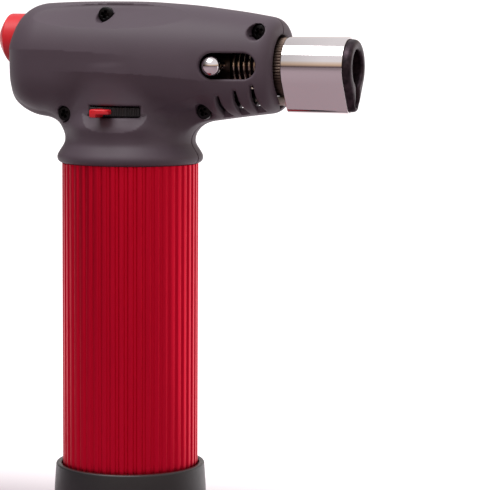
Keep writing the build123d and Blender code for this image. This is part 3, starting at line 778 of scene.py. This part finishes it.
print("openings: 1 air slot, 1 lever slot,", 2 * len(VENTS), "vents and", len(SCREWS), "screw holes")

# %% [markdown]
# ## The two housing halves
#
# Each half is its own moulding, so each is its own piece. The grid is 0.42 mm, fine enough to hold
# the vents and creases once the points have been moved onto the surface.

# %% Housing halves
GRID = 0.42
HEAD_LOW, HEAD_HIGH = (-37.5, -22.0, 109.5), (46.0, 22.0, 156.4)
PAST_PARTING = 0.9  # the grid runs this far past the parting face
for name, right in (("housing_right", True), ("housing_left", False)):
    low, high = list(HEAD_LOW), list(HEAD_HIGH)
    if right:
        high[1] = PAST_PARTING
    else:
        low[1] = -PAST_PARTING
    points, faces, normals = mesh_field(half_field(right), low, high, GRID)
    make_piece(
        name + "_moulding", points, faces.tolist(), spark_eroded_abs, "torch_body",
        (name,), normals,
    )

# %% [markdown]
# ## Recessed screws
#
# Four small cross-recess screws of black oxide steel, coloured darker with painted shade for their deep
# holes, hold the halves together. Each has a domed head with a cross pressed into it, which is deep enough
# to read as black, and a threaded shank.

# %% Screws
SCREW_HEAD_RADIUS, SCREW_HEAD_HEIGHT = 2.1, 1.6
ARM_HALF_WIDTH, ARM_LENGTH = 0.16, 0.85
THREAD_RADIUS, ROOT_RADIUS, HALF_PITCH, SHANK_END = 1.14, 0.9, 0.35, 7.0


def screw_head_field(points):
    """A screw head about the Y axis, with its seat at y = 0 and its top towards -Y."""
    x, y, z = points[..., 0], points[..., 1], points[..., 2]
    around = np.hypot(x, z)
    dome = -y - SCREW_HEAD_HEIGHT + 0.07 * around**2
    head = smooth_max(smooth_max(around - SCREW_HEAD_RADIUS, dome, 0.35), y, 0.12)
    taper = 0.18 * (-y)
    half_width, length = ARM_HALF_WIDTH + taper, ARM_LENGTH + 1.2 * taper
    arms = [np.maximum(np.abs(u) - half_width, np.abs(v) - length) for u, v in ((x, z), (z, x))]
    cross = np.maximum(np.minimum(*arms), y + 0.35)
    return smooth_max(head, -cross, 0.14)


def screw_shank(seat_y):
    """The threaded shank's profile along Y, as rings of alternating radius."""
    turns = np.arange(seat_y - 0.15, SHANK_END - 0.1, HALF_PITCH)
    thread = [(y, THREAD_RADIUS if i % 2 else ROOT_RADIUS) for i, y in enumerate(turns)]
    return [(seat_y - 0.15, 0.0)] + thread + [(SHANK_END, 0.5), (SHANK_END, 0.0)]


head_points, head_faces, _ = mesh_field(screw_head_field, (-2.4, -2.0, -2.4), (2.4, 0.4, 2.4), 0.12)
points, faces, offset = [], [], 0
TURNS = (12, 55, 30, 70)  # how far each was driven, in degrees
for turn, (screw_x, screw_z, seat_y) in zip(TURNS, SCREWS):
    turned_head = head_points @ np.array(Matrix.Rotation(math.radians(turn), 3, "Y")).T
    seated_head = (turned_head + (0, seat_y, 0), head_faces.tolist())
    shank = lathe(screw_shank(seat_y), 1, (0, 0, 0), around=20)
    for part_points, part_faces in (seated_head, shank):
        points.append(part_points + (screw_x, 0, screw_z))
        faces += [[corner + offset for corner in face] for face in part_faces]
        offset += len(part_points)
make_piece(
    "cross_recess_screws", np.concatenate(points), faces, screw_steel_with_painted_shade, "torch_body",
    ("housing_screws",),
)

# %% [markdown]
# ## The ribbed sleeve
#
# The sleeve is extruded with forty-eight flat ribs and narrow grooves between them, then dyed red.
# The ribs' edges are rounded by the die, and each end of the tube is deburred.

# %% Ribbed sleeve
RIBS, RIB_DEPTH, RIB_SHARE = 48, 0.5, 0.6
SLEEVE_RADIUS, SLEEVE_BORE = 19.0, 17.2
sleeve_low, sleeve_high = node_box("tank_sleeve")


def ribbed(angles, along, radius):
    """The outer wall's radius around the sleeve. The bore has no ribs."""
    if radius < SLEEVE_RADIUS - 1.0:
        return radius
    place = np.abs((angles * RIBS / (2 * math.pi)) % 1 - 0.5) * 2
    groove = 1 - ramp(place, 1 - RIB_SHARE - 0.16, 1 - RIB_SHARE + 0.16)
    return radius - RIB_DEPTH * groove


sleeve_profile = eased(
    [
        (sleeve_low[2] + 1.0, SLEEVE_BORE),
        (sleeve_low[2], SLEEVE_BORE),
        (sleeve_low[2], SLEEVE_RADIUS),
        (sleeve_high[2], SLEEVE_RADIUS),
        (sleeve_high[2], SLEEVE_BORE),
        (sleeve_low[2] + 2.0, SLEEVE_BORE),
    ],
    0.25,
)
points, faces = lathe(sleeve_profile, 2, (0, 0, 0), around=RIBS * 16, wobble=ribbed)
make_piece(
    "ribbed_sleeve", points, faces, anodised_aluminium, "torch_body",
    ("tank_sleeve",), sharp=60,
)

# %% [markdown]
# ## The base
#
# The base is one deep black moulding: a foot that keeps the tall torch from tipping, a flared skirt
# and a cup that the sleeve stands in. Its rim is rolled, and catches a thin line of light.

# %% Base
base_high = node_box("base_stand")[1]
FOOT, RIM, BORE, SEAT = base_high[0], 20.9, 19.3, 16.5
SKIRT_LOW, SKIRT_HIGH, FLARE = 3.0, 19.0, 2.6
skirt_height = np.linspace(SKIRT_LOW, SKIRT_HIGH, 22)
flare = ((SKIRT_HIGH - skirt_height) / (SKIRT_HIGH - SKIRT_LOW)) ** FLARE
skirt = [(z, RIM + 0.45 + (FOOT - RIM - 0.45) * f) for z, f in zip(skirt_height, flare)]
base_profile = [(0.6, 0.0), (0.6, FOOT - 5.0), (0.0, FOOT - 4.0), (0.0, FOOT - 0.8), (0.8, FOOT)]
base_profile += skirt + [(base_high[2], RIM), (base_high[2], BORE), (5.0, BORE)]
base_profile += [(5.0, SEAT), (3.0, SEAT), (3.0, 0.0)]
points, faces = lathe(eased(base_profile, 0.55), 2, (0, 0, 0), around=160)
make_piece(
    "moulded_base", points, faces, moulded_black_abs, "base", ("base_stand",), sharp=50
)

# %% [markdown]
# ## The red button
#
# The trigger is a cap moulded in red, domed at the back for the thumb, with a flange inside that
# stops it from leaving the housing, and a bar that pushes the valve lever.

# %% Button
button_back = node_box("trigger_button")[0][0]
CAP_RADIUS, CAP_BORE, DOME_DEPTH, DOME_POWER = 7.0, 5.4, 3.7, 1.6
FLANGE_RADIUS, FLANGE_BACK, FLANGE_FRONT = 8.2, -26.0, -24.5
dome_radii = np.linspace(0, CAP_RADIUS, 20)
dome = [(button_back + DOME_DEPTH * (r / CAP_RADIUS) ** DOME_POWER, r) for r in dome_radii]
button_profile = dome + [(FLANGE_BACK, CAP_RADIUS), (FLANGE_BACK, FLANGE_RADIUS)]
button_profile += [(FLANGE_FRONT, FLANGE_RADIUS), (FLANGE_FRONT, CAP_BORE)]
button_profile += [(button_back + DOME_DEPTH + 1.0, CAP_BORE), (button_back + DOME_DEPTH + 1.0, 0.0)]
cap_points, cap_faces = lathe(eased(button_profile, 0.3), 0, (0, 0, BUTTON_Z), around=80)


def push_bar_field(points):
    """The bar beside the igniter that reaches from the cap to the valve lever."""
    x, y, z = points[..., 0], points[..., 1], points[..., 2]
    sides = smooth_max(np.abs(y - 5.6) - 1.0, np.abs(z - 140.75) - 1.25, 0.4)
    return smooth_max(sides, np.abs(x + 10.95) - 13.8, 0.4)


bar_points, bar_faces, _ = mesh_field(push_bar_field, (-25.4, 3.9, 138.8), (3.7, 7.3, 142.7), 0.35)
button_faces = list(cap_faces) + (bar_faces + len(cap_points)).tolist()
make_piece(
    "red_button", np.concatenate([cap_points, bar_points]), button_faces, moulded_red_abs,
    "trigger", ("trigger_button",), sharp=45,
)

# %% [markdown]
# ## Gas dial and lever
#
# The dial is a black sector that turns about the valve, with fine grip ridges on its rim. Its red
# lever stands out of the slot, thin, with rounded corners.

# %% Dial and lever
LEVER_ANGLE, LEVER_HALF_ANGLE, LEVER_TIP = -91.0, 7.0, 22.0
DIAL_RADIUS, DIAL_ANGLE, DIAL_HALF_ANGLE, DIAL_BORE = 17.04, -85.5, 35.5, 4.05
RIDGES, RIDGE_DEPTH = 150, 0.16


def dial_field(points):
    """The dial: a ridged sector on a hub."""
    x, y, z = points[..., 0], points[..., 1], points[..., 2]
    radius, around = np.hypot(x, y), np.degrees(np.arctan2(y, x))
    ridges = RIDGE_DEPTH * np.cos(np.radians(around) * RIDGES)
    sector = smooth_max(radius - DIAL_RADIUS - ridges, np.abs(z - LEVER_SLOT_Z) - 1.3, 0.35)
    sides = np.radians(np.abs(around - DIAL_ANGLE) - DIAL_HALF_ANGLE) * np.maximum(radius, 1)
    hub = np.maximum(radius - 6.5, np.abs(z - 122.75) - 4.45)
    return np.maximum(np.minimum(np.maximum(sector, sides), hub), DIAL_BORE - radius)


def lever_field(points):
    """The lever: a thin blade with a thicker tip at one end."""
    x, y, z = points[..., 0], points[..., 1], points[..., 2]
    radius, around = np.hypot(x, y), np.degrees(np.arctan2(y, x))
    length = smooth_max(radius - LEVER_TIP, 17.2 - radius, 0.3)
    sides = np.radians(np.abs(around - LEVER_ANGLE) - LEVER_HALF_ANGLE) * radius
    blade = smooth_max(smooth_max(length, sides, 1.6), np.abs(z - 125.25) - 0.65, 0.4)
    tip_sides = np.radians(np.abs(around - LEVER_ANGLE + 4.4) - 2.4) * radius
    tip = smooth_max(np.maximum(length, tip_sides), np.abs(z - 124.825) - 1.075, 0.5)
    return smooth_min(blade, tip, 0.5)


points, faces, normals = mesh_field(dial_field, (-16.0, -18.0, 117.8), (12.5, 7.0, 127.8), 0.25)
make_piece(
    "gas_dial", points, faces.tolist(), moulded_black_abs, "flame_dial",
    ("flame_dial",), normals,
)
points, faces, normals = mesh_field(lever_field, (-4.5, -22.5, 123.3), (3.5, -16.5, 126.4), 0.14)
make_piece(
    "gas_lever", points, faces.tolist(), moulded_red_abs, "flame_dial",
    ("flame_lever",), normals,
)

# %% [markdown]
# ## Air knob
#
# The air knob is a polished ball on a turned neck. It is lathed from one profile: most of a circle
# for the ball, and a straight stem with a groove where it is fixed to the air collar.

# %% Air knob
knob_x, knob_y, knob_z, knob_radius = 29.7, -15.4, 137.9, 2.7
sweep = np.linspace(0.10, math.pi - 0.46, 26)
ball = [(knob_y - knob_radius * math.cos(a), knob_radius * math.sin(a)) for a in sweep]
stem = [(-12.6, 1.1), (-9.4, 1.1), (-9.2, 0.95), (-8.9, 1.1), (-5.3, 1.1), (-5.3, 0.0)]
knob_profile = [(ball[0][0], 0.0)] + ball + stem
points, faces = lathe(knob_profile, 1, (knob_x, 0, knob_z), around=64)
make_piece(
    "air_ball", points, faces, chromed_steel, "air_slider", ("air_knob",), sharp=35
)

# %% [markdown]
# ## Burner hub
#
# The hub joins the burner to the nozzle. The part that shows has a fine knurl rolled into it, which
# grips the shroud. The lathe's `wobble` makes it: sixty shallow waves around the wider step.

# %% Burner hub
KNURLS, KNURL_DEPTH = 60, 0.22


def knurled(angles, along, radius):
    """The hub's radius around it. Only its wider step is knurled."""
    if radius < 7.7 or along > 46.5:
        return radius
    return radius - KNURL_DEPTH * (0.5 + 0.5 * np.cos(angles * KNURLS))


hub_profile = [(43.4, 5.0), (43.4, 8.0), (46.6, 8.0), (46.6, 7.5), (50.0, 7.5), (50.0, 5.0), (44.4, 5.0)]
points, faces = lathe(eased(hub_profile, 0.25), 0, (0, 0, AXIS_Z), around=480, wobble=knurled)
make_piece(
    "knurled_hub", points, faces, darkened_steel, "torch_body", ("burner_hub",), sharp=50
)

# %% [markdown]
# ## Nozzle shroud
#
# The shroud is thin chromed sheet, rolled into a teardrop: a large circle over a small one, joined
# by flat sides, which is why one strip of it reflects a single even tone. It is swept along X, one
# ring of points for each point of its wall's profile, with extra points near the ends of the flats.

# %% Nozzle shroud
SHROUD_RADIUS, TOE_RADIUS, TOE_Z, SHEET = 8.1, 2.8, 127.9, 0.5
FLAT_SHARES = (0.05, 0.35, 0.65, 0.95)
lean = math.asin((SHROUD_RADIUS - TOE_RADIUS) / (AXIS_Z - TOE_Z))


def teardrop_ring(x, shrink):
    """The nozzle's outline at x: an arc over the top, flat sides, and a small arc below."""
    big = [(a, AXIS_Z, SHROUD_RADIUS - shrink) for a in np.linspace(-lean, math.pi + lean, 73)]
    small_angles = np.linspace(math.pi + lean, 2 * math.pi - lean, 25)
    small = [(a, TOE_Z, TOE_RADIUS - shrink) for a in small_angles]
    arcs = [(radius * math.cos(a), centre + radius * math.sin(a)) for a, centre, radius in big + small]
    outline = []
    for index, (y, z) in enumerate(arcs):
        outline.append((x, y, z))
        if index in (len(big) - 1, len(arcs) - 1):
            y_next, z_next = arcs[(index + 1) % len(arcs)]
            for t in FLAT_SHARES:
                outline.append((x, y + (y_next - y) * t, z + (z_next - z) * t))
    return outline


shroud_low, shroud_high = node_box("nozzle_shroud")
shroud_profile = eased(
    [
        (shroud_low[0] + 0.6, SHEET),
        (shroud_low[0], SHEET),
        (shroud_low[0], 0.0),
        (shroud_high[0], 0.0),
        (shroud_high[0], SHEET),
        (shroud_low[0] + 1.2, SHEET),
    ],
    0.16,
)
rings = [teardrop_ring(x, shrink) for x, shrink in shroud_profile]
points = np.array(rings).reshape(-1, 3)
faces = loop_faces(len(rings), len(rings[0]), closed_along=True)
make_piece(
    "chromed_shroud", points, faces, chromed_steel, "torch_body",
    ("nozzle_shroud",), sharp=50,
)

# %% [markdown]
# ## Nozzle insert
#
# The insert closes the shroud's mouth but for a keyhole: a round flame port with a slot below it for
# the electrode. The port's lip is rounded wide, so a field says it best.

# %% Nozzle insert
insert_low, insert_high = node_box("nozzle_insert")
PORT_RADIUS, SLOT_RADIUS, SHEET_GAP = 4.8, 1.4, 0.55


def insert_field(points):
    """The teardrop plug with its keyhole."""
    x, y, z = points[..., 0], points[..., 1], points[..., 2]
    big, small = SHROUD_RADIUS - SHEET_GAP, TOE_RADIUS - SHEET_GAP
    outline = tapered_slot(y, z, (0, AXIS_Z), (0, TOE_Z), big, small)
    middle, half = (insert_low[0] + insert_high[0]) / 2, (insert_high[0] - insert_low[0]) / 2
    body = smooth_max(outline, np.abs(x - middle) - half, 1.5)
    port = np.hypot(y, z - AXIS_Z) - PORT_RADIUS
    slot = tapered_slot(y, z, (0, AXIS_Z), (0, WIRE_Z), SLOT_RADIUS, SLOT_RADIUS)
    return smooth_max(body, -smooth_min(port, slot, 1.2), 0.9)


points, faces, normals = mesh_field(insert_field, (56.5, -8.1, 125.0), (66.4, 8.1, 145.8), 0.24)
make_piece(
    "keyhole_insert", points, faces.tolist(), flame_blackened_steel, "torch_body",
    ("nozzle_insert",), normals,
)

# %% [markdown]
# ## The pieces inside
#
# The rest is small and mostly hidden: the valve, the igniter, the jet and the springs. The CAD's
# own shapes are right for these, so they stay, and each gets the finish of its real material.

# %% Finishes for the pieces inside
FINISHES = (
    (milky_nylon, ("fuel_tank", "dip_tube")),
    (black_rubber, ("valve_seal", "fill_valve_seal", "ignition_wire")),
    (turned_brass, ("fill_valve", "fill_valve_stem", "valve_body", "valve_stem")),
    (turned_brass, ("gas_elbow", "jet_holder", "gas_jet", "gas_filter")),
    (bright_steel, ("gas_tube", "lever_bracket", "lever_pin", "valve_lever")),
    (bright_steel, ("fill_valve_spring", "trigger_spring", "air_spring")),
    (darkened_steel, ("air_collar",)),
    (flame_blackened_steel, ("burner_tube",)),
    (electrode_wire, ("electrode",)),
    (alumina, ("flame_holder", "electrode_insulator")),
    (moulded_black_abs, ("piezo_plunger", "piezo_body")),
)
for finish, names in FINISHES:
    for name in names:
        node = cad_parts[name]
        node.data.materials.clear()
        node.data.materials.append(finish)
finished = [name for _, names in FINISHES for name in names]
print("finishes given to", len(finished), "CAD pieces")

# %% [markdown]
# ## Floor and backdrop
#
# The torch stands on a grey-pink paper sweep that curves up far behind it. From just behind the torch the
# paper glows:
# painted light, an emission in place of lamps that light the paper, so the torch stands against white.

# %% Sweep
paper_with_painted_glow = bpy.data.materials.new("grey_paper_with_painted_glow")
paper_with_painted_glow.use_nodes = True
paper = paper_with_painted_glow.node_tree.nodes["Principled BSDF"]
paper.inputs["Base Color"].default_value = linear("#9b8c93")
paper.inputs["Roughness"].default_value = 0.9
paper.inputs["Emission Color"].default_value = linear("#ffffff")
paper_tree = paper_with_painted_glow.node_tree
floor_place = add_node(paper_tree, "ShaderNodeTexCoord").outputs["Object"]
floor_depth = add_node(paper_tree, "ShaderNodeSeparateXYZ", {"Vector": floor_place}).outputs["Y"]
# painted light: the paper's emission rises from nothing to full strength behind the torch, as if lamps lit
# it
GLOW_START, GLOW_FULL = 0.03, 0.12  # metres behind the tank's axis
glow = add_node(
    paper_tree, "ShaderNodeMapRange", {"Value": floor_depth, "From Min": GLOW_START, "From Max": GLOW_FULL}
)
paper_tree.links.new(glow.outputs["Result"], paper.inputs["Emission Strength"])
SWEEP_FRONT, SWEEP_BACK, SWEEP_HALF_WIDTH, SWEEP_HEIGHT, BEND = -6.0, 6.0, 6.0, 1.2, 0.5  # metres
bend_angles = np.linspace(0, math.pi / 2, 24)
bend = [(SWEEP_BACK - BEND + BEND * math.sin(a), BEND - BEND * math.cos(a)) for a in bend_angles]
outline = [(SWEEP_FRONT, 0.0)] + bend + [(SWEEP_BACK, SWEEP_HEIGHT)]
sweep_points = [(side * SWEEP_HALF_WIDTH, y, z) for y, z in outline for side in (-1, 1)]
sweep_faces = [(2 * i, 2 * i + 1, 2 * i + 3, 2 * i + 2) for i in range(len(outline) - 1)]
sweep_mesh = bpy.data.meshes.new("paper_sweep")
sweep_mesh.from_pydata(sweep_points, [], sweep_faces)
sweep_mesh.polygons.foreach_set("use_smooth", np.ones(len(sweep_faces), bool))
sweep_mesh.materials.append(paper_with_painted_glow)
paper_sweep = bpy.data.objects.new("paper_sweep", sweep_mesh)
bpy.context.scene.collection.objects.link(paper_sweep)
print("sweep:", len(sweep_points), "points,", 2 * SWEEP_HALF_WIDTH, "m wide")

# %% [markdown]
# ## Light
#
# Shiny things are lit by what they reflect, so most of the light is a tent all round: bright from a
# little above the horizon, with a warm seam along its lower edge, dim below, and dimmer on the left,
# where a dark flag draws the head's rear edge. One large softbox overhead adds the broad light on the
# shoulders and the white band along the top of the chrome.

# %% Lights
def softbox(name, place, target, size, power):
    """A rectangular area light aimed at a point, all in metres and watts."""
    lamp = bpy.data.lights.new(name, "AREA")
    lamp.shape = "RECTANGLE"
    lamp.size, lamp.size_y = size
    lamp.energy = power
    holder = bpy.data.objects.new(name, lamp)
    holder.location = place
    holder.rotation_euler = (Vector(target) - Vector(place)).to_track_quat("-Z", "Y").to_euler()
    bpy.context.scene.collection.objects.link(holder)
    print(f"{name}: {power} W, {size[0]} by {size[1]} m")


HEAD_CENTRE = (0.005, 0.0, 0.13)
softbox("overhead_softbox", (-0.1, -0.30, 0.80), HEAD_CENTRE, (0.6, 0.5), 5.0)

world = bpy.data.worlds.new("light_tent")
world.use_nodes = True
tent = world.node_tree
direction = add_node(tent, "ShaderNodeTexCoord").outputs["Generated"]
height = add_node(tent, "ShaderNodeSeparateXYZ", {"Vector": direction}).outputs["Z"]
rise = add_node(tent, "ShaderNodeMapRange", {"Value": height, "From Min": 0.0, "From Max": 0.5})
wall = add_node(tent, "ShaderNodeValToRGB", {"Fac": rise.outputs["Result"]})
wall.color_ramp.elements[0].color = linear("#5d5056")
wall.color_ramp.elements[1].color = linear("#f7f4f6")
wall.color_ramp.elements[1].position = 0.74
wall.color_ramp.elements.new(0.10).color = linear("#8a7670")
wall.color_ramp.elements.new(0.30).color = linear("#dfc2a8")
wall.color_ramp.elements.new(0.60).color = linear("#efe0d4")
side = add_node(tent, "ShaderNodeSeparateXYZ", {"Vector": direction}).outputs["X"]
flag_edges = {"From Min": -0.95, "From Max": -0.25, "To Min": 0.1, "To Max": 0.92}
flag = add_node(tent, "ShaderNodeMapRange", {"Value": side, **flag_edges})
tent.links.new(wall.outputs["Color"], tent.nodes["Background"].inputs["Color"])
tent.links.new(flag.outputs["Result"], tent.nodes["Background"].inputs["Strength"])
bpy.context.scene.world = world
bpy.context.scene.view_settings.view_transform = "Standard"

# %% [markdown]
# ## Camera
#
# The torch is seen from its right side, turned a little to show the nozzle's mouth, from just above,
# with a long lens a little over half a metre away.

# %% Camera
VIEW_AZIMUTH, VIEW_ELEVATION, VIEW_PAN = math.radians(22.5), math.radians(5.794), math.radians(-3.098)
VIEW_DISTANCE, AIM_HEIGHT = 0.620, 0.08731
back = Vector(
    (
        math.sin(VIEW_AZIMUTH) * math.cos(VIEW_ELEVATION),
        -math.cos(VIEW_AZIMUTH) * math.cos(VIEW_ELEVATION),
        math.sin(VIEW_ELEVATION),
    )
)
level = Vector((math.cos(VIEW_AZIMUTH), math.sin(VIEW_AZIMUTH), 0.0))
upright = back.cross(level)
panned_back = back * math.cos(VIEW_PAN) + level * math.sin(VIEW_PAN)
panned_right = level * math.cos(VIEW_PAN) - back * math.sin(VIEW_PAN)
turn = Matrix((panned_right, upright, panned_back)).transposed()
view_camera = bpy.data.cameras.new("view_camera")
view_camera.lens = 159.07
view_camera.sensor_width = 36.0
view_camera.clip_start = 0.01
camera = bpy.data.objects.new("view_camera", view_camera)
place = Vector((0, 0, AIM_HEIGHT)) + back * VIEW_DISTANCE
camera.matrix_world = Matrix.Translation(place) @ turn.to_4x4()
bpy.context.scene.collection.objects.link(camera)
bpy.context.scene.camera = camera
print("camera:", VIEW_DISTANCE, "m away, with a lens of", view_camera.lens, "mm")
